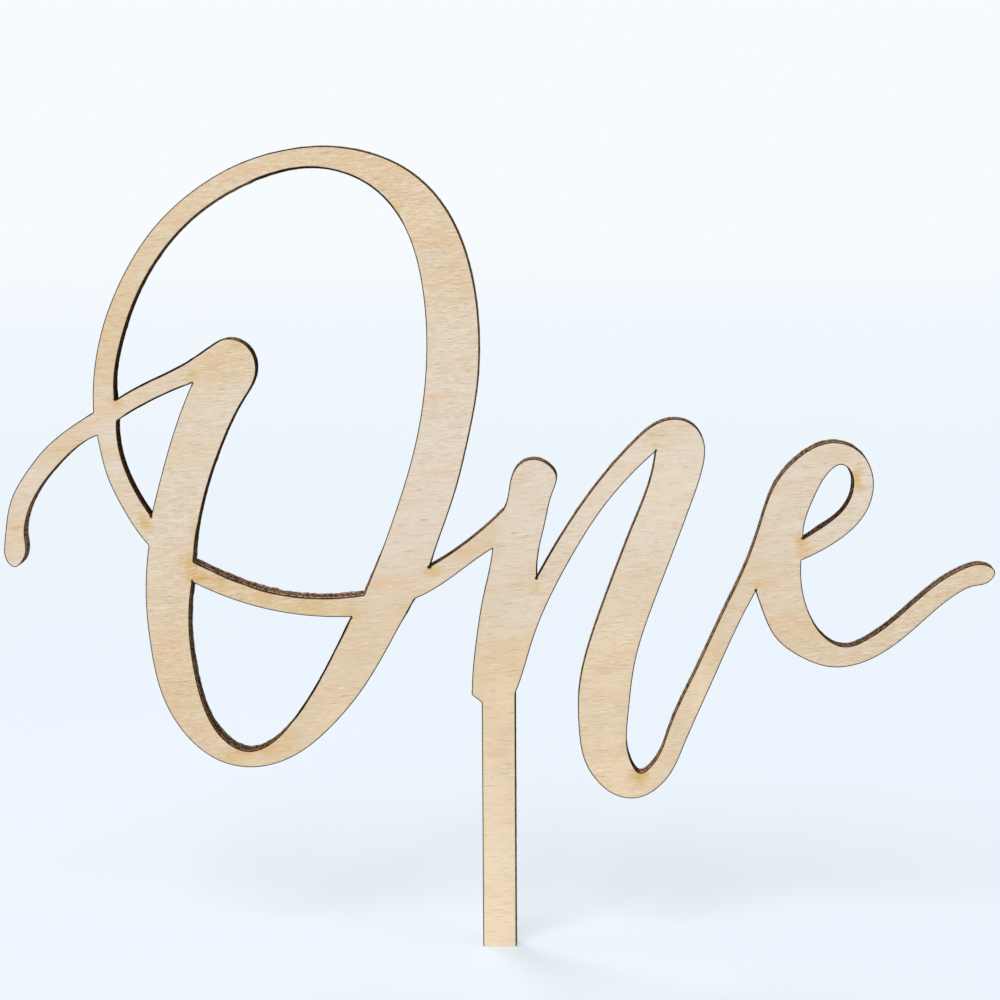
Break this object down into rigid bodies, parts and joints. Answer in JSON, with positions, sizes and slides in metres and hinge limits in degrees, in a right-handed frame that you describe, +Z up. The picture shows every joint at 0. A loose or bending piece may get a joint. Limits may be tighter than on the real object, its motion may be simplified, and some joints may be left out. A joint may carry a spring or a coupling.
{
  "type": "cake topper",
  "caption": "Laser-cut plywood cake topper: the word One in joined brush script on a flat pointed stake that pushes into a cake.",
  "frame": {"origin": "on the stake's centre line, halfway through the sheet, at the insertion line, the level of the cake's top", "axes": "+Z up out of the cake, +X along the reading direction of the word, -Y out of the front face"},
  "size_m": [0.1532, 0.003, 0.1752],
  "materials": {
    "face_veneer": "bare rotary-cut birch, sanded, edges browned by the laser",
    "core_veneer": "bare birch, its cut edge charred by the laser",
    "glue_line": "cured resin, its cut edge charred by the laser"
  },
  "bodies": {
    "root": {"front_face_veneer": "face_veneer", "front_glue_line": "glue_line", "core_veneer": "core_veneer", "rear_glue_line": "glue_line", "rear_face_veneer": "face_veneer"}
  },
  "joints": []
}
